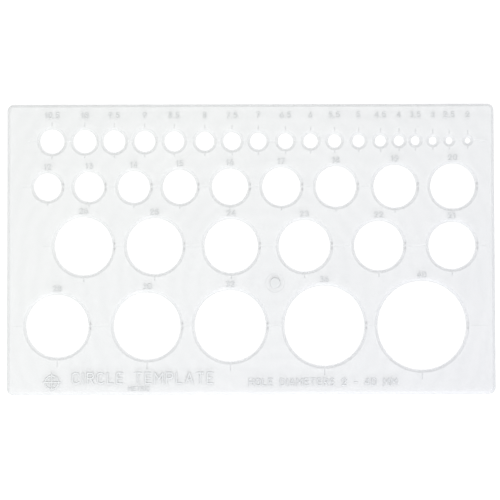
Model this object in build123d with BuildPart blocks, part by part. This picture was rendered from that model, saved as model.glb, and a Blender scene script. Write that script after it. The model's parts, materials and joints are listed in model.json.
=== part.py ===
from build123d import *
import math
import os

# Circle template: one thin moulded plastic sheet with four rows of round holes to draw through.
# The sheet lies on the XY plane with its underside at Z = 0 and the origin under its centre.
# X runs along the rows, Y across the sheet and +Z is the marked upper face. Millimetres.

# ---- Driving dimensions: the sheet ----
SHEET_LENGTH = 223.0
SHEET_WIDTH = 133.0
SHEET_THICKNESS = 1.2
CORNER_RADIUS = 3.0
EDGE_BEVEL_WIDTH = 1.6
EDGE_BEVEL_DROP = 0.5

# ---- Driving dimensions: the holes ----
LEAD_ALLOWANCE = 0.5  # a hole is this much wider than its marked size, for the pencil's lead
RIM_WIDTH = 1.05
RIM_DROP = 0.5

# ---- Driving dimensions: the centre marks, V grooves engraved in the upper face ----
GROOVE_WIDTH = 0.6
GROOVE_DEPTH = 0.38
LINE_LEAD_IN = 4.0  # how far a centre line starts to the left of its first hole's rim
LINE_END = 107.5
CUTTER_ROOM = 0.2  # how far a cutter stands clear of the face that it cuts

# ---- Driving dimensions: the raised marks ----
RELIEF = 0.2
SLOPE = 0.12  # width and height of the slope round the top of each raised mark
NUMERAL_HEIGHT = 2.4
NUMERAL_PEN = 0.4
NUMERAL_GAP = 0.35  # between a numeral's foot and the rim under it
LETTER_GAP = 0.37  # between two characters, as a share of their height

# ---- Driving dimensions: the gate mark, where the plastic entered the mould ----
GATE_CENTRE = (11.0, -15.5)
GATE_DISH_RADIUS = 4.4
GATE_DISH_DEPTH = 0.12
GATE_STUB_RADIUS = 2.3
GATE_STUB_HEIGHT = 0.26
GATE_STUB_EDGE = 0.14

# ---- Driving dimensions: the circle symbol ----
SYMBOL_CENTRE = (-91.0, -60.6)
SYMBOL_RADIUS = 3.0
SYMBOL_REACH = 4.2
SYMBOL_PEN = 0.6


def stepped(first, last, step):
    """Marked sizes from first to last, both included, one step apart."""
    count = round(abs(last - first) / step) + 1
    signed_step = math.copysign(step, last - first)
    return [first + signed_step * n for n in range(count)]


# The rows from the top: place across the sheet, marked sizes and centres of the holes from left
# to right, how far the ticks above and below a hole reach past its rim, and where the numerals'
# feet stand. With no foot given, each numeral stands just above its own hole's rim.
ROWS = {
    "numerals_row_1": {
        "y": 49.5,
        "sizes": stepped(10.5, 2, 0.5),
        "centres": [-91, -76, -62.5, -48.5, -35, -21, -8.5, 3.5, 16]
        + [27.5, 38.5, 49.5, 59.5, 68, 75.5, 83.5, 91, 99.5],
        "tick_above": 2.0,
        "tick_below": 1.2,
        "foot": 60.2,
    },
    "numerals_row_2": {
        "y": 28.6,
        "sizes": stepped(12, 20, 1),
        "centres": [-93, -74, -53.5, -32.5, -9.5, 14, 39, 66, 92.5],
        "tick_above": 0.0,
        "tick_below": 1.0,
        "foot": None,
    },
    "numerals_row_3": {
        "y": 1.4,
        "sizes": stepped(26, 21, 1),
        "centres": [-76.5, -44, -9, 24.5, 58.5, 92],
        "tick_above": 0.0,
        "tick_below": 1.6,
        "foot": None,
    },
    "numerals_row_4": {
        "y": -35.1,
        "sizes": [28, 30, 32, 36, 40],
        "centres": [-88.5, -47.5, -9.5, 33.5, 78],
        "tick_above": 0.0,
        "tick_below": 3.0,
        "foot": None,
    },
}

# The raised words: text, height, pen width, left end and foot of each line.
WORDS = {
    "title_lettering": [
        ("CIRCLE TEMPLATE", 4.8, 0.7, -81.6, -61.2),
        ("METRIC", 1.9, 0.35, -56.0, -64.6),
    ],
    "caption_lettering": [("HOLE DIAMETERS 2 - 40 MM", 3.1, 0.5, -1.0, -62.3)],
}


def line(*points):
    """A stroke of straight runs through its points."""
    return "line", points


def arc(x, y, radius, start, turn):
    """A stroke along an arc: its centre, radius, starting angle and turn, in degrees."""
    return "arc", (x, y, radius, start, turn)


# Single-stroke characters, as a round cutter engraves them in the mould: the width and the
# strokes of each, on a cell one unit high.
CHARACTERS = {
    "0": (0.6, [line((0, 0.3), (0, 0.7)), arc(0.3, 0.7, 0.3, 0, 180),
                line((0.6, 0.7), (0.6, 0.3)), arc(0.3, 0.3, 0.3, 180, 180)]),
    "1": (0.34, [line((0, 0.76), (0.26, 1), (0.26, 0))]),
    "2": (0.6, [arc(0.3, 0.7, 0.3, 180, -180), line((0.6, 0.7), (0.6, 0.62), (0, 0), (0.6, 0))]),
    "3": (0.56, [arc(0.28, 0.76, 0.24, 150, -240), arc(0.28, 0.26, 0.26, 90, -240)]),
    "4": (0.62, [line((0.46, 0), (0.46, 1), (0, 0.28), (0.62, 0.28))]),
    "5": (0.58, [line((0.52, 1), (0.1, 1), (0.06, 0.52)), arc(0.27, 0.3, 0.3, 135, -285)]),
    "6": (0.6, [arc(0.3, 0.3, 0.3, 0, 180), arc(0.3, 0.3, 0.3, 180, 180),
                line((0.03, 0.43), (0.4, 1))]),
    "7": (0.58, [line((0, 1), (0.58, 1), (0.18, 0))]),
    "8": (0.56, [arc(0.28, 0.76, 0.24, 0, 180), arc(0.28, 0.76, 0.24, 180, 180),
                 arc(0.28, 0.26, 0.26, 0, 180), arc(0.28, 0.26, 0.26, 180, 180)]),
    "9": (0.6, [arc(0.3, 0.7, 0.3, 0, 180), arc(0.3, 0.7, 0.3, 180, 180),
                line((0.57, 0.57), (0.2, 0))]),
    ".": (0.06, [line((0.03, 0), (0.03, 0.03))]),
    "-": (0.5, [line((0.05, 0.48), (0.45, 0.48))]),
    " ": (0.42, []),
    "A": (0.68, [line((0, 0), (0.34, 1), (0.68, 0)), line((0.12, 0.34), (0.56, 0.34))]),
    "C": (0.62, [arc(0.33, 0.67, 0.33, 35, 145), line((0, 0.67), (0, 0.33)),
                 arc(0.33, 0.33, 0.33, 180, 145)]),
    "D": (0.62, [line((0.27, 0), (0, 0), (0, 1), (0.27, 1)), arc(0.27, 0.65, 0.35, 90, -90),
                 line((0.62, 0.65), (0.62, 0.35)), arc(0.27, 0.35, 0.35, 0, -90)]),
    "E": (0.54, [line((0.54, 0), (0, 0), (0, 1), (0.54, 1)), line((0, 0.52), (0.44, 0.52))]),
    "H": (0.62, [line((0, 0), (0, 1)), line((0.62, 0), (0.62, 1)), line((0, 0.52), (0.62, 0.52))]),
    "I": (0.06, [line((0.03, 0), (0.03, 1))]),
    "L": (0.5, [line((0, 1), (0, 0), (0.5, 0))]),
    "M": (0.76, [line((0, 0), (0, 1), (0.38, 0.4), (0.76, 1), (0.76, 0))]),
    "O": (0.66, [line((0, 0.33), (0, 0.67)), arc(0.33, 0.67, 0.33, 0, 180),
                 line((0.66, 0.67), (0.66, 0.33)), arc(0.33, 0.33, 0.33, 180, 180)]),
    "P": (0.58, [line((0, 0), (0, 1), (0.32, 1)), arc(0.32, 0.74, 0.26, 90, -180),
                 line((0.32, 0.48), (0, 0.48))]),
    "R": (0.58, [line((0, 0), (0, 1), (0.32, 1)), arc(0.32, 0.74, 0.26, 90, -180),
                 line((0.32, 0.48), (0, 0.48)), line((0.28, 0.48), (0.58, 0))]),
    "S": (0.56, [arc(0.28, 0.75, 0.25, 30, 240), arc(0.28, 0.25, 0.25, 90, -240)]),
    "T": (0.62, [line((0, 1), (0.62, 1)), line((0.31, 1), (0.31, 0))]),
}


def hole_radius(size):
    return (size + LEAD_ALLOWANCE) / 2


def rim_radius(size):
    return hole_radius(size) + RIM_WIDTH


def spans(stroke, height):
    """The separate runs of a stroke at a height, each a private edge with its two ends."""
    kind, shape = stroke
    if kind == "arc":
        x, y, radius, start, turn = shape
        edge = CenterArc((x * height, y * height), radius * height, start, turn, mode=Mode.PRIVATE)
        return [(edge, (edge @ 0, edge @ 1))]
    ends = [(x * height, y * height) for x, y in shape]
    return [(Line(a, b, mode=Mode.PRIVATE), (a, b)) for a, b in zip(ends, ends[1:])]


def raised_character(character, height, pen):
    """One character standing on the sheet, its foot's left end at the origin, with sloped sides."""
    strokes = CHARACTERS[character][1]
    with BuildPart() as raised:
        with BuildSketch(Plane.XY.offset(SHEET_THICKNESS)):
            for stroke in strokes:
                for edge, ends in spans(stroke, height):
                    trace(edge, line_width=pen)
                    with Locations(*ends):
                        Circle(pen / 2)
        extrude(amount=RELIEF)
        chamfer(raised.faces().sort_by(Axis.Z)[-1].edges(), length=SLOPE)
    return raised.part


def text_width(text, height):
    return height * (sum(CHARACTERS[c][0] for c in text) + LETTER_GAP * (len(text) - 1))


def raised_text(text, height, pen, left, foot):
    """The characters of a line of text as separate solids, in their places on the sheet."""
    solids = []
    for character in text:
        if CHARACTERS[character][1]:
            raised = raised_character(character, height, pen)
            solids += raised.moved(Location((left, foot, 0))).solids()
        left += height * (CHARACTERS[character][0] + LETTER_GAP)
    return solids


def size_text(size):
    """A marked size as it is read: 10.5, but 10 rather than 10.0."""
    return f"{size:g}"


def centre_line_span(row):
    """Where a row's centre line starts and ends along the sheet."""
    return row["centres"][0] - rim_radius(row["sizes"][0]) - LINE_LEAD_IN, LINE_END


def finish(part, name):
    part.label = name
    export_step(part, f"parts/{name}.step")


os.makedirs("parts", exist_ok=True)

# ---- Sheet: a plate with bevelled edges, countersunk holes, centre marks and the gate's dish ----
upper_rim_angle = 2 * math.degrees(math.atan2(RIM_WIDTH, RIM_DROP))
groove_scale = (GROOVE_DEPTH + CUTTER_ROOM) / GROOVE_DEPTH
groove_half_width = GROOVE_WIDTH / 2 * groove_scale
groove_top = SHEET_THICKNESS + CUTTER_ROOM
groove_bottom = SHEET_THICKNESS - GROOVE_DEPTH

with BuildPart() as template_sheet:
    with BuildSketch():
        RectangleRounded(SHEET_LENGTH, SHEET_WIDTH, CORNER_RADIUS)
    extrude(amount=SHEET_THICKNESS)
    top_face = template_sheet.faces().sort_by(Axis.Z)[-1]
    chamfer(top_face.edges(), length=EDGE_BEVEL_WIDTH, length2=EDGE_BEVEL_DROP, reference=top_face)

    for row in ROWS.values():
        for size, centre in zip(row["sizes"], row["centres"]):
            with Locations((centre, row["y"], SHEET_THICKNESS)):
                CounterSinkHole(
                    hole_radius(size), rim_radius(size), counter_sink_angle=upper_rim_angle
                )

    # a centre line through each row: one V groove cut along the sheet
    for row in ROWS.values():
        start, end = centre_line_span(row)
        with BuildSketch(Plane.YZ.offset(start)):
            with BuildLine():
                Polyline(
                    (row["y"] - groove_half_width, groove_top),
                    (row["y"], groove_bottom),
                    (row["y"] + groove_half_width, groove_top),
                    close=True,
                )
            make_face()
        extrude(amount=end - start, mode=Mode.SUBTRACT)

    # a tick through each hole: one V groove cut across it
    for row in ROWS.values():
        for size, centre in zip(row["sizes"], row["centres"]):
            near = row["y"] - rim_radius(size) - row["tick_below"]
            far = row["y"] + rim_radius(size) + row["tick_above"]
            with BuildSketch(Plane.XZ.offset(-near)):
                with BuildLine():
                    Polyline(
                        (centre - groove_half_width, groove_top),
                        (centre, groove_bottom),
                        (centre + groove_half_width, groove_top),
                        close=True,
                    )
                make_face()
            extrude(amount=near - far, mode=Mode.SUBTRACT)

    with BuildSketch(Plane.XY.offset(SHEET_THICKNESS)):
        with Locations(GATE_CENTRE):
            Circle(GATE_DISH_RADIUS)
    extrude(amount=-GATE_DISH_DEPTH, mode=Mode.SUBTRACT)
finish(template_sheet.part, "template_sheet")

# ---- Numerals: the marked size above each hole, one node for each row ----
for name, row in ROWS.items():
    solids = []
    for size, centre in zip(row["sizes"], row["centres"]):
        text = size_text(size)
        left = centre - text_width(text, NUMERAL_HEIGHT) / 2
        own_foot = row["y"] + rim_radius(size) + NUMERAL_GAP + NUMERAL_PEN / 2
        foot = own_foot if row["foot"] is None else row["foot"]
        solids += raised_text(text, NUMERAL_HEIGHT, NUMERAL_PEN, left, foot)
    with BuildPart() as numerals:
        add(solids)
    finish(numerals.part, name)

# ---- Lettering: the template's name and the range of its holes ----
for name, lines in WORDS.items():
    solids = []
    for text, height, pen, left, foot in lines:
        solids += raised_text(text, height, pen, left, foot)
    with BuildPart() as lettering:
        add(solids)
    finish(lettering.part, name)

# ---- Circle symbol: a raised ring with its centre lines ----
with BuildPart() as circle_symbol:
    with BuildSketch(Plane.XY.offset(SHEET_THICKNESS)):
        with Locations(SYMBOL_CENTRE):
            Circle(SYMBOL_RADIUS + SYMBOL_PEN / 2)
            Circle(SYMBOL_RADIUS - SYMBOL_PEN / 2, mode=Mode.SUBTRACT)
            SlotOverall(2 * SYMBOL_REACH, SYMBOL_PEN)
            SlotOverall(2 * SYMBOL_REACH, SYMBOL_PEN, rotation=90)
    extrude(amount=RELIEF)
    chamfer(circle_symbol.faces().sort_by(Axis.Z)[-1].edges(), length=SLOPE)
finish(circle_symbol.part, "circle_symbol")

# ---- Gate mark: the stub left in the dish where the plastic entered ----
with BuildPart() as gate_mark:
    with BuildSketch(Plane.XY.offset(SHEET_THICKNESS - GATE_DISH_DEPTH)):
        with Locations(GATE_CENTRE):
            Circle(GATE_STUB_RADIUS)
    extrude(amount=GATE_STUB_HEIGHT)
    fillet(gate_mark.faces().sort_by(Axis.Z)[-1].edges(), radius=GATE_STUB_EDGE)
finish(gate_mark.part, "gate_mark")
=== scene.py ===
import json
import math

import bmesh
import bpy
from bpy.props import FloatProperty, FloatVectorProperty, PointerProperty
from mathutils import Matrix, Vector


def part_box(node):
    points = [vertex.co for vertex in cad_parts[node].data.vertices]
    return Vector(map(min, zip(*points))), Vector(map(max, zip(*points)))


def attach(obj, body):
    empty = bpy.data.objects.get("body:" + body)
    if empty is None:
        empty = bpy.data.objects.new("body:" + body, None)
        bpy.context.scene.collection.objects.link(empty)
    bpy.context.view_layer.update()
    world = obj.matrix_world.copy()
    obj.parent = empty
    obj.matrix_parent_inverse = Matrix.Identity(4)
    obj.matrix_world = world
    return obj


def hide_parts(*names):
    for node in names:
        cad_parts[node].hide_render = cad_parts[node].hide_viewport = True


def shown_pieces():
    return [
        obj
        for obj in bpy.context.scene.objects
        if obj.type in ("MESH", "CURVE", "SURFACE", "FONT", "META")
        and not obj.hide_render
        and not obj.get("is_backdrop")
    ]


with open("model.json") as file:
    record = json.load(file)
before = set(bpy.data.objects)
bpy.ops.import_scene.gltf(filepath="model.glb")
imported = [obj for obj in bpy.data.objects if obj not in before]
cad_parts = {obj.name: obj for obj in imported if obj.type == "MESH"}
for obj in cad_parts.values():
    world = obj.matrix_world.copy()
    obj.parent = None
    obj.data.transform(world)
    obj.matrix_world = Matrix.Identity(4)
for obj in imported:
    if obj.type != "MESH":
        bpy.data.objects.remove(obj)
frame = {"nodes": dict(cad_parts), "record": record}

bl_info = {
    "name": "Circle Template",
    "version": (1, 0, 0),
    "blender": (4, 5, 0),
    "location": "3D View > Sidebar > Template",
    "description": "Models a moulded plastic circle template with its raised sizes and sets its stage",
    "category": "Object",
}

MM = 0.001
HAIR = 0.002 * MM  # keeps a cutter's ring clear of the face that it cuts
MARK_SINK = 0.02 * MM  # keeps the foot of a raised mark out of the plane of the sheet's face
CORNER_STEPS = 12  # sides of each rounded corner of the sheet
SOFT_STEPS = 3  # sides of the rounding along its lower edge
SMOOTH_ANGLE = math.radians(32)  # edges steeper than this stay sharp

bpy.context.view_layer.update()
sheet_low, sheet_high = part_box("template_sheet")
sheet_top = sheet_high.z


# ---- Sizes and colours that a user may change ----


class SheetSizes(bpy.types.PropertyGroup):
    """Sizes of the moulded sheet."""

    corner_radius: FloatProperty(
        name="Corner radius", description="Radius of the sheet's four corners",
        default=3.0 * MM, min=0.0, unit="LENGTH", precision=5)
    edge_width: FloatProperty(
        name="Edge bevel width", description="Width of the slope round the sheet's upper edge",
        default=1.4 * MM, min=0.0, unit="LENGTH", precision=5)
    edge_drop: FloatProperty(
        name="Edge bevel drop", description="How far that slope falls",
        default=0.6 * MM, min=0.0, unit="LENGTH", precision=5)
    lead_allowance: FloatProperty(
        name="Lead allowance", description="How much wider a hole is than its marked size",
        default=0.5 * MM, min=0.0, unit="LENGTH", precision=5)
    rim_width: FloatProperty(
        name="Rim width", description="Width of the lip and slope round a hole",
        default=1.45 * MM, min=0.0, unit="LENGTH", precision=5)
    rim_drop: FloatProperty(
        name="Rim drop", description="How far that slope falls towards the hole",
        default=0.56 * MM, min=0.0, unit="LENGTH", precision=5)
    softness: FloatProperty(
        name="Edge softness", description="How far the lower edges and a hole's wall are rounded over",
        default=0.14 * MM, min=0.0, unit="LENGTH", precision=5)
    rim_land: FloatProperty(
        name="Rim land", description="Width of the flat lip between a hole and its slope",
        default=0.3 * MM, min=0.0, unit="LENGTH", precision=5)
    rim_softness: FloatProperty(
        name="Rim softness", description="How far the top of a hole's slope is rounded over",
        default=0.3 * MM, min=0.0, unit="LENGTH", precision=5)
    gate_dish_radius: FloatProperty(
        name="Gate dish radius", description="Radius of the shallow dish round the gate mark",
        default=4.4 * MM, min=0.0, unit="LENGTH", precision=5)
    gate_dish_depth: FloatProperty(
        name="Gate dish depth", description="Depth of that dish",
        default=0.13 * MM, min=0.0, unit="LENGTH", precision=5)


class CentreMarkSizes(bpy.types.PropertyGroup):
    """Sizes of the engraved centre lines and ticks."""

    tick_width: FloatProperty(
        name="Tick width", description="Width of a tick at the sheet's face",
        default=0.6 * MM, min=0.0, unit="LENGTH", precision=5)
    line_width: FloatProperty(
        name="Line width", description="Width of a centre line at the sheet's face",
        default=0.36 * MM, min=0.0, unit="LENGTH", precision=5)
    line_depth: FloatProperty(
        name="Line depth", description="Depth of the fine centre lines",
        default=0.42 * MM, min=0.0, unit="LENGTH", precision=5)
    tick_depth: FloatProperty(
        name="Tick depth", description="Depth of the ticks across the centre lines",
        default=0.22 * MM, min=0.0, unit="LENGTH", precision=5)
    notch_length: FloatProperty(
        name="Notch length", description="Length of the two notches beside each line's way out of a hole",
        default=1.1 * MM, min=0.0, unit="LENGTH", precision=5)
    notch_spread: FloatProperty(
        name="Notch spread", description="How far those notches are from the line",
        default=1.15 * MM, min=0.0, unit="LENGTH", precision=5)
    notch_width: FloatProperty(
        name="Notch width", description="Width of those notches",
        default=0.85 * MM, min=0.0, unit="LENGTH", precision=5)
    notch_depth: FloatProperty(
        name="Notch depth", description="Depth of those notches in the hole's slope",
        default=0.35 * MM, min=0.0, unit="LENGTH", precision=5)
    line_lead_in: FloatProperty(
        name="Line lead-in", description="How far a centre line starts before its first hole's rim",
        default=4.0 * MM, min=0.0, unit="LENGTH", precision=5)
    line_end: FloatProperty(
        name="Line end", description="Where every centre line ends, along the sheet",
        default=107.5 * MM, unit="LENGTH", precision=5)
    ticks_above: FloatVectorProperty(
        name="Ticks above", description="Reach of the ticks past the rim's upper side, row by row",
        default=(2.0 * MM, 0.0, 0.0, 0.0), size=4, unit="LENGTH", precision=5)
    ticks_below: FloatVectorProperty(
        name="Ticks below", description="Reach of the ticks past the rim's lower side, row by row",
        default=(1.2 * MM, 1.0 * MM, 1.6 * MM, 3.0 * MM), size=4, unit="LENGTH", precision=5)


class PlasticLooks(bpy.types.PropertyGroup):
    """Colour and surface of the frosted plastic."""

    # painted light: the near and far tints paint a light falloff, lighter towards the upper left and darker
    # and cooler towards the lower right
    near_tint: FloatVectorProperty(
        name="Upper left tint", description="Colour of the milky body near the upper left corner",
        default=(0.370, 0.382, 0.380), size=3, min=0.0, max=1.0, subtype="COLOR")
    far_tint: FloatVectorProperty(
        name="Lower right tint", description="Colour of the milky body near the lower right corner",
        default=(0.318, 0.326, 0.350), size=3, min=0.0, max=1.0, subtype="COLOR")
    # painted light: the marks' tints carry the same painted light falloff from the upper left to the lower
    # right
    mark_near_tint: FloatVectorProperty(
        name="Upper left mark tint", description="Colour of the raised marks near the upper left corner",
        default=(0.437, 0.448, 0.446), size=3, min=0.0, max=1.0, subtype="COLOR")
    mark_far_tint: FloatVectorProperty(
        name="Lower right mark tint", description="Colour of the raised marks near the lower right corner",
        default=(0.409, 0.418, 0.432), size=3, min=0.0, max=1.0, subtype="COLOR")
    # painted shade: the tint is darkened on every moulded slope, standing in for the shade on the hole rims
    # and the sheet's bevel
    painted_slope_shade: FloatVectorProperty(
        name="Painted slope shade", description="What the tint is multiplied by on the rougher moulded slopes",
        default=(0.89, 0.89, 0.90), size=3, min=0.0, max=1.0, subtype="COLOR")
    # painted light: the cut walls and the sheet's sides are brightened towards this colour so that they glow
    # as if edge-lit
    painted_edge_glow: FloatVectorProperty(
        name="Painted edge glow", description="Colour of the bright cut walls and sides",
        default=(0.93, 0.95, 0.95), size=3, min=0.0, max=1.0, subtype="COLOR")
    body: FloatProperty(
        name="Body", description="How milky the upper face is, from clear to solid",
        default=0.25, min=0.0, max=1.0, subtype="FACTOR")
    underside_body: FloatProperty(
        name="Underside body", description="How milky the underside is",
        default=0.08, min=0.0, max=1.0, subtype="FACTOR")
    slope_body: FloatProperty(
        name="Slope body", description="How milky the rougher moulded slopes look",
        default=0.42, min=0.0, max=1.0, subtype="FACTOR")
    wall_body: FloatProperty(
        name="Wall body", description="How milky the cut walls and the sheet's sides look",
        default=0.28, min=0.0, max=1.0, subtype="FACTOR")
    mark_body: FloatProperty(
        name="Mark body", description="How milky the raised marks are, from clear to solid",
        default=0.78, min=0.0, max=1.0, subtype="FACTOR")
    gloss: FloatProperty(
        name="Sheet gloss", description="How much more solid the sheet looks at low angles",
        default=0.2, min=0.0, max=1.0, subtype="FACTOR")
    mark_gloss: FloatProperty(
        name="Mark gloss", description="How much more solid the raised marks look at low angles",
        default=0.09, min=0.0, max=1.0, subtype="FACTOR")
    roughness: FloatProperty(
        name="Roughness", description="Roughness of the satin surface",
        default=0.44, min=0.0, max=1.0, subtype="FACTOR")
    shine: FloatProperty(
        name="Shine", description="Strength of the satin surface's highlights",
        default=0.18, min=0.0, max=1.0, subtype="FACTOR")
    # painted shade: how strongly the notches are coated dark, standing in for the shade in them
    notch_shade: FloatProperty(
        name="Notch shade", description="How much pencil dust there is in the notches",
        default=0.3, min=0.0, max=0.7, subtype="FACTOR")
    grain_depth: FloatProperty(
        name="Grain depth", description="Depth of the satin grain left by the mould",
        default=0.006 * MM, min=0.0, unit="LENGTH", precision=6)
    wave_depth: FloatProperty(
        name="Wave depth", description="Depth of the sheet's long shallow waves",
        default=0.03 * MM, min=0.0, unit="LENGTH", precision=6)


KEY_PLACE = (0.10, -1.13, 0.70)
KEY_SIZE = 0.3
OVERHEAD_PLACE = (0.0, 0.1, 1.3)
OVERHEAD_SIZE = 1.4
FLOOR_SIZE = 6.0
FLOOR_GAP = 0.2 * MM  # between the floor and the sheet's underside
FLOOR_COLOUR = (0.9, 0.9, 0.9, 1)


class StageSettings(bpy.types.PropertyGroup):
    """Camera, floor and light."""

    lens: FloatProperty(
        name="Lens", description="Focal length of the camera's lens",
        default=100.0, min=1.0, unit="CAMERA")
    camera_offset: FloatVectorProperty(
        name="Camera offset", description="Where the camera stands from the middle of the sheet",
        default=(-0.46 * MM, -18.21 * MM, 635.35 * MM), size=3, subtype="XYZ", unit="LENGTH", precision=5)
    camera_tilt: FloatProperty(
        name="Camera tilt", description="How far the camera looks up the sheet from straight down",
        default=math.radians(1.599), unit="ROTATION")
    camera_roll: FloatProperty(
        name="Camera roll", description="How far the camera is turned about its own axis",
        default=math.radians(-0.15), unit="ROTATION")
    key_power: FloatProperty(
        name="Key power", description="Power of the low light from beyond the sheet's lower edge",
        default=37.0, min=0.0, unit="POWER")
    overhead_power: FloatProperty(
        name="Overhead power", description="Power of the wide light overhead",
        default=9.5, min=0.0, unit="POWER")
    surround: FloatProperty(
        name="Surround", description="Brightness of the white surround",
        default=0.8, min=0.0)


# ---- Measures from the frame ----


def hole_list(lead_allowance):
    """(x, y, radius) of every hole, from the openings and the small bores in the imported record."""
    record = frame["record"]
    holes = {}
    for opening in record["physics"]["openings"]:
        low, high = opening["box_m"]
        centre = (round((low[0] + high[0]) / 2, 5), round((low[1] + high[1]) / 2, 5))
        marked = float(opening["name"].removeprefix("hole_").removesuffix("_mm").replace("_", "."))
        holes[centre] = (marked * MM + lead_allowance) / 2
    for mount in record["mounts"]:
        if mount["kind"] == "bore":
            centre = (round(mount["pos_m"][0], 5), round(mount["pos_m"][1], 5))
            holes[centre] = mount["dims"]["r_mm"] * MM
    return [(x, y, radius) for (x, y), radius in holes.items()]


def gate_centre():
    """The middle of the gate mark, where the plastic entered the mould."""
    low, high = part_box("gate_mark")
    return (Vector(low) + Vector(high)) / 2


def hole_rows(holes):
    """The holes grouped into rows from the sheet's upper edge down, each row from left to right."""
    heights = sorted({round(y, 4) for _, y, _ in holes}, reverse=True)
    return [sorted(h for h in holes if round(h[1], 4) == height) for height in heights]


# ---- Ways of working that the pieces share ----


def start_fresh():
    """Leaves edit mode and selects nothing."""
    if bpy.context.object and bpy.context.object.mode != "OBJECT":
        bpy.ops.object.mode_set(mode="OBJECT")
    bpy.ops.object.select_all(action="DESELECT")


def name_active(name):
    piece = bpy.context.object
    piece.name = name
    piece.data.name = name
    return piece


def apply_place():
    bpy.ops.object.transform_apply(location=True, rotation=True, scale=True)


def select_edges(piece, wanted):
    """Selects the edges of the mesh in edit mode whose two ends make wanted true."""
    bpy.ops.mesh.select_mode(type="EDGE")
    bpy.ops.mesh.select_all(action="DESELECT")
    mesh = bmesh.from_edit_mesh(piece.data)
    for edge in mesh.edges:
        edge.select_set(wanted(edge.verts[0].co, edge.verts[1].co))
    mesh.select_flush_mode()
    bmesh.update_edit_mesh(piece.data)


def select_faces(piece, wanted):
    """Selects the faces of the mesh in edit mode that make wanted true."""
    bpy.ops.mesh.select_mode(type="FACE")
    bpy.ops.mesh.select_all(action="DESELECT")
    mesh = bmesh.from_edit_mesh(piece.data)
    for face in mesh.faces:
        face.select_set(wanted(face))
    mesh.select_flush_mode()
    bmesh.update_edit_mesh(piece.data)


def rounded(before, corner, after, steps=4):
    """Points of (radius, height) that turn smoothly round a corner."""
    points = []
    for n in range(steps + 1):
        t = n / steps
        points.append(tuple(
            (1 - t) ** 2 * a + 2 * t * (1 - t) * c + t ** 2 * b
            for a, c, b in zip(before, corner, after)
        ))
    return points


def ring_sides(radius):
    """How many sides a hole of this radius is cut with."""
    if radius < 3 * MM:
        return 48
    if radius < 8 * MM:
        return 72
    return 96


def add_turned_cutter(name, x, y, profile, sides):
    """A closed solid turned about a vertical axis at (x, y) through (radius, height) points, lowest first."""
    start_fresh()
    radius, height = profile[0]
    bpy.ops.mesh.primitive_circle_add(
        vertices=sides, radius=radius, fill_type="NGON", location=(x, y, height))
    cutter = name_active(name)
    bpy.ops.object.mode_set(mode="EDIT")
    bpy.ops.mesh.select_all(action="SELECT")
    for next_radius, next_height in profile[1:]:
        bpy.ops.mesh.extrude_region_move(
            TRANSFORM_OT_translate={"value": (0, 0, next_height - height)})
        grow = next_radius / radius
        bpy.ops.transform.resize(value=(grow, grow, 1), center_override=(x, y, next_height))
        radius, height = next_radius, next_height
    bpy.ops.mesh.select_all(action="SELECT")
    bpy.ops.mesh.normals_make_consistent(inside=False)
    bpy.ops.object.mode_set(mode="OBJECT")
    apply_place()
    return cutter


def add_groove_cutter(name, middle, length, width, depth, across):
    """A four-sided bar whose lower point cuts a V groove along the sheet, or across it."""
    start_fresh()
    turn = (math.pi / 2, 0, 0) if across else (0, math.pi / 2, 0)
    scale = (width / 2, depth, length / 2) if across else (depth, width / 2, length / 2)
    bpy.ops.mesh.primitive_cylinder_add(
        vertices=4, radius=1, depth=2, location=middle, rotation=turn, scale=scale)
    cutter = name_active(name)
    apply_place()
    return cutter


def cut_away(piece, cutters):
    """Subtracts all the cutters from the piece at once, and removes them."""
    tools = bpy.data.collections.new("Cutters")
    bpy.context.scene.collection.children.link(tools)
    for cutter in cutters:
        tools.objects.link(cutter)
    start_fresh()
    bpy.context.view_layer.objects.active = piece
    piece.select_set(True)
    cut = piece.modifiers.new("Cut", "BOOLEAN")
    cut.operation = "DIFFERENCE"
    cut.solver = "EXACT"
    cut.operand_type = "COLLECTION"
    cut.collection = tools
    bpy.ops.object.modifier_apply(modifier=cut.name)
    for cutter in cutters:
        mesh = cutter.data
        bpy.data.objects.remove(cutter)
        bpy.data.meshes.remove(mesh)
    bpy.data.collections.remove(tools)


def smooth_over(piece, angle):
    """Smooth shading across shallow edges, with the flat faces kept flat."""
    start_fresh()
    bpy.context.view_layer.objects.active = piece
    piece.select_set(True)
    bpy.ops.object.shade_smooth_by_angle(angle=angle)
    weigh = piece.modifiers.new("Flat faces", "WEIGHTED_NORMAL")
    weigh.keep_sharp = True
    bpy.ops.object.modifier_apply(modifier=weigh.name)


# ---- Plastic ----

# patterns, in repeats to the metre
CLOUD_SCALE = 32.0
WAVE_SCALE = 45.0
RING_SCALE = 42.0
GRAIN_SCALE = 3200.0
SPECK_SCALE = 2600.0
SCRATCH_SCALE = (9, 1400, 40)  # long one way and fine across it
SCRATCH_PEAK = (0.70, 0.76)  # only the noise's peaks become scratches

# how far each pattern changes the tint, the body and the roughness
# painted light: the next three numbers set a painted light falloff across the sheet, lighter at the upper
# left and darker at the lower right, made uneven by the clouds
FALLOFF_WAY = (1.0, -1.0, 0.0)
FALLOFF_ENDS = (-0.09, 0.16)  # metres along that way
CLOUD_FALLOFF = 0.14
CLOUD_BODY = 0.025
RING_BODY = 0.012
SCRATCH_BODY = 0.015
BODY_TRIM = 0.03  # takes back what those patterns and the gloss add to a flat face
GRAIN_ROUGHNESS = 0.14
SCRATCH_ROUGHNESS = 0.08

# places of a colour Mix node's sockets
MIX_A = 6
MIX_B = 7
MIX_RESULT = 2


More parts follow.
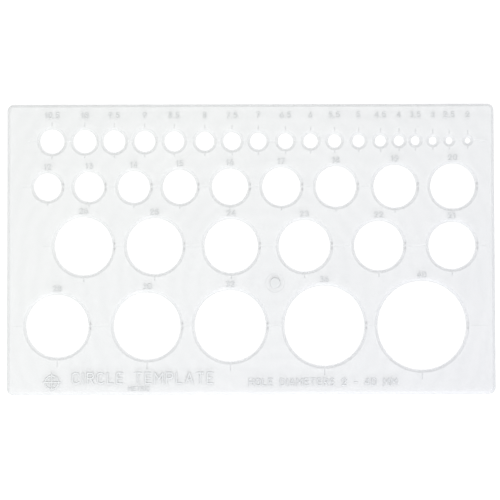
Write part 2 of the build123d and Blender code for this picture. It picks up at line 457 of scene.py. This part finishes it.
class NodeBench:
    """A material's node tree with short ways to add and join its nodes."""

    def __init__(self, name):
        self.material = bpy.data.materials.new(name)
        self.material.use_nodes = True
        self.tree = self.material.node_tree
        self.tree.nodes.clear()

    def add(self, kind, label, settings=None, **inputs):
        """Adds a node, and sets its properties from settings and its sockets from inputs."""
        node = self.tree.nodes.new("ShaderNode" + kind)
        node.label = label
        for key, value in (settings or {}).items():
            setattr(node, key, value)
        for socket, value in inputs.items():
            node.inputs[socket.replace("_", " ")].default_value = value
        return node

    def join(self, output, socket):
        self.tree.links.new(output, socket)

    def sums(self, operation, first, second, label, third=None):
        """A Math node on sockets or numbers."""
        node = self.add("Math", label, {"operation": operation})
        for socket, value in zip(node.inputs, (first, second, third)):
            if isinstance(value, bpy.types.NodeSocket):
                self.join(value, socket)
            elif value is not None:
                socket.default_value = value
        return node.outputs[0]

    def noise(self, place, scale, detail, label):
        node = self.add("TexNoise", label, Scale=scale, Detail=detail)
        self.join(place, node.inputs["Vector"])
        return node.outputs["Fac"]

    def streaks(self, place, angle, label):
        """Hairline scratches that run at an angle: 1 on a scratch and 0 elsewhere."""
        turned = self.add(
            "Mapping", label + " direction", Rotation=(0, 0, angle), Scale=SCRATCH_SCALE)
        self.join(place, turned.inputs["Vector"])
        lines = self.noise(turned.outputs["Vector"], 1.0, 1.0, label)
        fine = self.add(
            "MapRange", label + " edges", {"clamp": True},
            From_Min=SCRATCH_PEAK[0], From_Max=SCRATCH_PEAK[1])
        self.join(lines, fine.inputs["Value"])
        return fine.outputs["Result"]


def tint_with_painted_falloff(bench, place, clouds, near, far):
    """The tint with a painted light falloff, lighter at the upper left corner and darker and cooler at the
    lower right one, with soft clouds in it.
    """
    across = bench.add("VectorMath", "Way across the sheet", {"operation": "DOT_PRODUCT"})
    across.inputs[1].default_value = FALLOFF_WAY
    bench.join(place, across.inputs[0])
    drift = bench.add(
        "MapRange", "Painted light falloff", {"clamp": True}, From_Min=FALLOFF_ENDS[0], From_Max=FALLOFF_ENDS[1])
    bench.join(across.outputs["Value"], drift.inputs["Value"])
    uneven = bench.sums("MULTIPLY_ADD", clouds, CLOUD_FALLOFF, "Uneven painted falloff", drift.outputs["Result"])
    centred = bench.sums("SUBTRACT", uneven, CLOUD_FALLOFF / 2, "Centred painted falloff")
    tint = bench.add("Mix", "Tint", {"data_type": "RGBA", "clamp_factor": True})
    tint.inputs[MIX_A].default_value = (*near, 1)
    tint.inputs[MIX_B].default_value = (*far, 1)
    bench.join(centred, tint.inputs[0])
    return tint.outputs[MIX_RESULT]


def flow_rings(bench, place):
    """Rings that the plastic left as it flowed away from the gate."""
    gate = gate_centre()
    about_gate = bench.add("Mapping", "About the gate", Location=(-gate.x, -gate.y, 0))
    bench.join(place, about_gate.inputs["Vector"])
    rings = bench.add(
        "TexWave", "Flow rings", {"wave_type": "RINGS", "rings_direction": "SPHERICAL"},
        Scale=RING_SCALE, Distortion=5.0, Detail=3.0, Detail_Scale=1.2)
    bench.join(about_gate.outputs["Vector"], rings.inputs["Vector"])
    return rings.outputs["Fac"]


def solid_share(bench, upright, clouds, rings, scratches, body, gloss):
    """How solid each face looks: clear underneath, milky above, and more so on walls and slopes."""
    upper, slopes, walls, under = body
    upward = bench.sums("MULTIPLY_ADD", upright, 0.5, "Upward", 0.5)
    by_lean = bench.add("ValToRGB", "Body by lean")
    ramp = by_lean.color_ramp
    # 0 faces straight down, 0.5 is a wall and 1 faces straight up
    ramp.elements[0].color = (under, under, under, 1)
    ramp.elements[1].color = (upper, upper, upper, 1)
    for position, value in (
        (0.15, under), (0.35, walls), (0.65, walls), (0.85, slopes), (0.965, slopes), (0.99, upper),
    ):
        ramp.elements.new(position).color = (value, value, value, 1)
    bench.join(upward, by_lean.inputs["Fac"])
    cloudy = bench.sums("MULTIPLY_ADD", clouds, CLOUD_BODY, "Cloudy body", by_lean.outputs["Color"])
    ringed = bench.sums("MULTIPLY_ADD", rings, RING_BODY, "Ringed body", cloudy)
    scuffed = bench.sums("MULTIPLY_ADD", scratches, SCRATCH_BODY, "Scuffed body", ringed)
    sheen = bench.add("Fresnel", "Gloss at low angles", IOR=1.3)
    glossy = bench.sums("MULTIPLY_ADD", sheen.outputs["Fac"], gloss, "Body and gloss", scuffed)
    return bench.sums("SUBTRACT", glossy, BODY_TRIM, "Solid share")


def slope_and_wall_colour(bench, upright, tint, looks):
    """The tint with painted shade on the moulded slopes and a painted glow on the cut walls and sides."""
    flatness = bench.sums("MULTIPLY", upright, upright, "Flatness")
    # painted shade on the slopes
    slope = bench.add("MapRange", "Slopes only", {"clamp": True}, From_Min=0.97, From_Max=0.9)
    bench.join(flatness, slope.inputs["Value"])
    shade = bench.add("Mix", "Painted shade on slopes", {
        "data_type": "RGBA", "blend_type": "MULTIPLY", "clamp_factor": True})
    bench.join(slope.outputs["Result"], shade.inputs[0])
    bench.join(tint, shade.inputs[MIX_A])
    shade.inputs[MIX_B].default_value = (*looks.painted_slope_shade, 1)
    # painted light: steep walls are brightened so that they glow
    wall = bench.add("MapRange", "Walls only", {"clamp": True}, From_Min=0.3, From_Max=0.0)
    bench.join(flatness, wall.inputs["Value"])
    bright = bench.add("Mix", "Painted wall glow", {"data_type": "RGBA", "clamp_factor": True})
    bench.join(wall.outputs["Result"], bright.inputs[0])
    bench.join(shade.outputs[MIX_RESULT], bright.inputs[MIX_A])
    bright.inputs[MIX_B].default_value = (*looks.painted_edge_glow, 1)
    return bright.outputs[MIX_RESULT]


def satin_surface(bench, place, scratches, looks):
    """Roughness and normal of a satin face with fine grain, long waves and scratches."""
    grain = bench.noise(place, GRAIN_SCALE, 2.0, "Satin grain")
    rough = bench.sums(
        "MULTIPLY_ADD", grain, GRAIN_ROUGHNESS, "Grainy gloss", looks.roughness - GRAIN_ROUGHNESS / 2)
    worn = bench.sums("MULTIPLY_ADD", scratches, SCRATCH_ROUGHNESS, "Worn gloss", rough)
    waves = bench.noise(place, WAVE_SCALE, 1.0, "Long waves")
    wavy = bench.add("Bump", "Waves", Strength=1.0, Distance=looks.wave_depth)
    bench.join(waves, wavy.inputs["Height"])
    grainy = bench.add("Bump", "Grain", Strength=1.0, Distance=looks.grain_depth)
    bench.join(grain, grainy.inputs["Height"])
    bench.join(wavy.outputs["Normal"], grainy.inputs["Normal"])
    return worn, grainy.outputs["Normal"]


def make_plastic(name, looks, near, far, body, gloss):
    """Milky satin plastic from a near to a far tint, a painted light falloff from the upper left to the lower
    right.

    body says how solid upper faces, slopes, walls and the underside look.
    """
    bench = NodeBench(name)
    place = bench.add("TexCoord", "Place on the sheet").outputs["Object"]
    facing = bench.add("NewGeometry", "Facing")
    lean = bench.add("SeparateXYZ", "Lean")
    bench.join(facing.outputs["Normal"], lean.inputs[0])
    upright = lean.outputs["Z"]
    clouds = bench.noise(place, CLOUD_SCALE, 3.0, "Clouds")
    scratches = bench.sums(
        "MAXIMUM", bench.streaks(place, 0.35, "Scratches"),
        bench.streaks(place, 2.1, "Cross scratches"), "All scratches")
    tint = tint_with_painted_falloff(bench, place, clouds, near, far)
    colour = slope_and_wall_colour(bench, upright, tint, looks)
    solid = solid_share(bench, upright, clouds, flow_rings(bench, place), scratches, body, gloss)
    roughness, normal = satin_surface(bench, place, scratches, looks)
    surface = bench.add("BsdfPrincipled", "Plastic", IOR=1.49, Specular_IOR_Level=looks.shine)
    bench.join(colour, surface.inputs["Base Color"])
    bench.join(roughness, surface.inputs["Roughness"])
    bench.join(solid, surface.inputs["Alpha"])
    bench.join(normal, surface.inputs["Normal"])
    output = bench.add("OutputMaterial", "Output")
    bench.join(surface.outputs["BSDF"], output.inputs["Surface"])
    return bench.material


def make_notch_shade(name, looks):
    """Painted shade: a thin, speckled dark coat in the notches where a point starts its way round, standing
    in for the shade there.
    """
    bench = NodeBench(name)
    place = bench.add("TexCoord", "Place on the sheet").outputs["Object"]
    specks = bench.noise(place, SPECK_SCALE, 3.0, "Specks")
    cover = bench.add(
        "MapRange", "Cover", {"clamp": True}, From_Min=0.3, From_Max=0.7,
        To_Min=0.6 * looks.notch_shade, To_Max=1.4 * looks.notch_shade)
    bench.join(specks, cover.inputs["Value"])
    gloss = bench.sums("MULTIPLY_ADD", specks, 0.3, "Uneven gloss", 0.35)
    surface = bench.add(
        "BsdfPrincipled", "Painted notch shade", Base_Color=(0.06, 0.062, 0.07, 1), Metallic=0.2)
    bench.join(cover.outputs["Result"], surface.inputs["Alpha"])
    bench.join(gloss, surface.inputs["Roughness"])
    bench.join(surface.outputs["BSDF"], bench.add("OutputMaterial", "Output").inputs["Surface"])
    return bench.material


# ---- Pieces ----


class MakeSheet(bpy.types.Operator):
    """Model the moulded sheet: its bevelled blank, holes, centre marks and the gate's dish"""

    bl_idname = "template.make_sheet"
    bl_label = "Make Sheet"
    bl_options = {"REGISTER", "UNDO"}

    def blank(self, sizes):
        """The rounded, bevelled blank."""
        length, width = sheet_high.x - sheet_low.x, sheet_high.y - sheet_low.y
        shoulder = sheet_top - sizes.edge_drop
        start_fresh()
        bpy.ops.mesh.primitive_cube_add(
            size=1, location=(0, 0, shoulder / 2), scale=(length, width, shoulder))
        blank = name_active("frosted_sheet")
        apply_place()
        bpy.ops.object.mode_set(mode="EDIT")
        select_edges(blank, lambda a, b: abs(a.z - b.z) > shoulder / 2)
        bpy.ops.mesh.bevel(
            offset=sizes.corner_radius, offset_type="OFFSET", segments=CORNER_STEPS, affect="EDGES")
        select_faces(blank, lambda face: face.normal.z > 0.9)
        bpy.ops.mesh.inset(thickness=sizes.edge_width, depth=sizes.edge_drop)
        select_edges(blank, lambda a, b: abs(a.z - b.z) < HAIR)
        bpy.ops.mesh.bevel(
            offset=sizes.softness, offset_type="OFFSET", segments=SOFT_STEPS, affect="EDGES")
        bpy.ops.object.mode_set(mode="OBJECT")
        return blank

    def dish_profile(self, sizes):
        """(radius, height) points of the gate's dish, from its flat floor to above the sheet."""
        radius = sizes.gate_dish_radius
        floor = sheet_top - sizes.gate_dish_depth
        soft = sizes.gate_dish_depth / 2
        points = [(radius - 4 * soft, floor)]
        points += rounded(
            (radius - 3 * soft, floor), (radius - 2 * soft, floor), (radius - soft, floor + soft))
        points += rounded(
            (radius - soft, floor + soft), (radius, sheet_top), (radius + soft, sheet_top + HAIR))[1:]
        points.append((radius + soft, sheet_top + MM))
        return points

    def hole_profile(self, radius, sizes):
        """(radius, height) points of a hole, from below the sheet to above it."""
        soft = sizes.softness
        lip = radius + sizes.rim_land
        rim = radius + sizes.rim_width
        foot = sheet_top - sizes.rim_drop
        slope = math.hypot(rim - lip, sizes.rim_drop)
        along = (rim - lip) / slope
        rise = sizes.rim_drop / slope
        over = sizes.rim_softness
        points = [(radius + soft, -MM)]
        points += rounded((radius + soft, -HAIR), (radius, 0), (radius, soft))
        points += rounded((radius, foot - soft), (radius, foot), (radius + soft, foot + HAIR))
        points += rounded(
            (lip - soft / 2, foot + 2 * HAIR), (lip, foot + 3 * HAIR),
            (lip + along * soft, foot + rise * soft))
        points += rounded(
            (rim - along * over, sheet_top - rise * over), (rim, sheet_top),
            (rim + over, sheet_top + HAIR))
        points.append((rim + over, sheet_top + MM))
        return points

    def row_cutters(self, number, row, sizes, marks, notch_shade_material):
        """One row's centre line, with each hole's tick and, below the top row, its two notches."""
        start = row[0][0] - row[0][2] - sizes.rim_width - marks.line_lead_in
        middle = ((start + marks.line_end) / 2, row[0][1], sheet_top)
        cutters = [add_groove_cutter(
            "line_cutter", middle, marks.line_end - start, marks.line_width, marks.line_depth, False)]
        for x, y, radius in row:
            low = y - radius - sizes.rim_width - marks.ticks_below[number]
            high = y + radius + sizes.rim_width + marks.ticks_above[number]
            cutters.append(add_groove_cutter(
                "tick_cutter", (x, (low + high) / 2, sheet_top), high - low, marks.tick_width,
                marks.tick_depth, True))
            if number == 0:
                continue
            for side in (-1, 1):
                middle = (
                    x + radius + sizes.rim_width / 2, y + side * marks.notch_spread,
                    sheet_top - sizes.rim_drop / 2)
                notch = add_groove_cutter(
                    "notch_cutter", middle, marks.notch_length, marks.notch_width,
                    marks.notch_depth, True)
                # painted shade: the notch faces get the dark painted shade material
                notch.data.materials.append(notch_shade_material)
                cutters.append(notch)
        return cutters

    def execute(self, context):
        sizes = context.scene.sheet_sizes
        marks = context.scene.centre_mark_sizes
        looks = context.scene.plastic_looks
        # painted shade for the notches
        notch_shade_material = make_notch_shade("painted_notch_shade", looks)
        blank = self.blank(sizes)
        blank.data.materials.append(make_plastic(
            "frosted_plastic_sheet", looks, looks.near_tint, looks.far_tint,
            (looks.body, looks.slope_body, looks.wall_body, looks.underside_body), looks.gloss))
        blank.data.materials.append(notch_shade_material)
        holes = hole_list(sizes.lead_allowance)
        cutters = [
            add_turned_cutter(
                "hole_cutter", x, y, self.hole_profile(radius, sizes), ring_sides(radius))
            for x, y, radius in holes
        ]
        for number, row in enumerate(hole_rows(holes)):
            cutters += self.row_cutters(number, row, sizes, marks, notch_shade_material)
        gate = gate_centre()
        cutters.append(add_turned_cutter(
            "dish_cutter", gate.x, gate.y, self.dish_profile(sizes), ring_sides(sizes.gate_dish_radius)))
        cut_away(blank, cutters)
        smooth_over(blank, SMOOTH_ANGLE)
        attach(blank, "root")
        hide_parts("template_sheet")
        return {"FINISHED"}


class FinishMarks(bpy.types.Operator):
    """Give the raised sizes, words, symbol and gate mark their plastic"""

    bl_idname = "template.finish_marks"
    bl_label = "Finish Raised Marks"
    bl_options = {"REGISTER", "UNDO"}

    def execute(self, context):
        looks = context.scene.plastic_looks
        plastic = make_plastic(
            "frosted_plastic_marks", looks, looks.mark_near_tint, looks.mark_far_tint,
            (looks.mark_body,) * 4, looks.mark_gloss)
        for name, node in frame["nodes"].items():
            if name != "template_sheet":
                for slot in node.material_slots:
                    slot.material = plastic
                sink = node.modifiers.new("Sink", "DISPLACE")
                sink.direction = "Z"
                sink.mid_level = 0.0
                sink.strength = -MARK_SINK
        return {"FINISHED"}


class SetStage(bpy.types.Operator):
    """Set the camera, the pale floor and the soft light"""

    bl_idname = "template.set_stage"
    bl_label = "Set Stage"
    bl_options = {"REGISTER", "UNDO"}

    def execute(self, context):
        scene = context.scene
        stage = scene.stage_settings
        start_fresh()
        bpy.ops.mesh.primitive_plane_add(size=FLOOR_SIZE, location=(0, 0, -FLOOR_GAP))
        floor = name_active("studio_floor")
        apply_place()
        paper = bpy.data.materials.new("white_floor")
        paper.use_nodes = True
        shader = paper.node_tree.nodes["Principled BSDF"]
        shader.inputs["Base Color"].default_value = FLOOR_COLOUR
        shader.inputs["Roughness"].default_value = 0.9
        shader.inputs["Specular IOR Level"].default_value = 0.0
        floor.data.materials.append(paper)
        floor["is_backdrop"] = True

        middle = Vector((0, 0, sheet_top / 2))
        bpy.ops.object.camera_add(
            location=middle + Vector(stage.camera_offset),
            rotation=(stage.camera_tilt, 0, stage.camera_roll))
        camera = name_active("overhead_camera")
        camera.data.lens = stage.lens
        scene.camera = camera

        lit = bpy.data.collections.new("lit_by_key")
        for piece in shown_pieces():
            lit.objects.link(piece)
        for name, place, size, power in (
            ("key_light", KEY_PLACE, KEY_SIZE, stage.key_power),
            ("overhead_light", OVERHEAD_PLACE, OVERHEAD_SIZE, stage.overhead_power),
        ):
            place = Vector(place)
            bpy.ops.object.light_add(
                type="AREA", location=place, rotation=place.to_track_quat("Z", "Y").to_euler())
            light = name_active(name)
            light.data.shape = "DISK"
            light.data.size = size
            light.data.energy = power
            if name == "key_light":
                light.light_linking.receiver_collection = lit

        world = bpy.data.worlds.new("white_surround")
        world.use_nodes = True
        sky = world.node_tree.nodes["Background"]
        sky.inputs["Color"].default_value = (1, 1, 1, 1)
        sky.inputs["Strength"].default_value = stage.surround
        scene.world = world
        scene.view_settings.view_transform = "Standard"
        return {"FINISHED"}


class TemplatePanel(bpy.types.Panel):
    """The template's operators and settings"""

    bl_idname = "VIEW3D_PT_circle_template"
    bl_label = "Circle Template"
    bl_space_type = "VIEW_3D"
    bl_region_type = "UI"
    bl_category = "Template"

    def draw(self, context):
        layout = self.layout
        scene = context.scene
        for operator in OPERATORS:
            layout.operator(operator.bl_idname)
        for name in SETTINGS:
            group = getattr(scene, name)
            box = layout.box()
            for key in group.bl_rna.properties.keys():
                if key not in {"rna_type", "name"}:
                    box.prop(group, key)


SETTINGS = {
    "sheet_sizes": SheetSizes,
    "centre_mark_sizes": CentreMarkSizes,
    "plastic_looks": PlasticLooks,
    "stage_settings": StageSettings,
}
OPERATORS = (MakeSheet, FinishMarks, SetStage)


def register():
    for group in SETTINGS.values():
        bpy.utils.register_class(group)
    for operator in OPERATORS:
        bpy.utils.register_class(operator)
    bpy.utils.register_class(TemplatePanel)
    for name, group in SETTINGS.items():
        setattr(bpy.types.Scene, name, PointerProperty(type=group))


def unregister():
    for name in SETTINGS:
        delattr(bpy.types.Scene, name)
    bpy.utils.unregister_class(TemplatePanel)
    for group in (*OPERATORS, *SETTINGS.values()):
        bpy.utils.unregister_class(group)


def main():
    register()
    bpy.ops.template.make_sheet()
    bpy.ops.template.finish_marks()
    bpy.ops.template.set_stage()


if __name__ == "__main__":
    main()
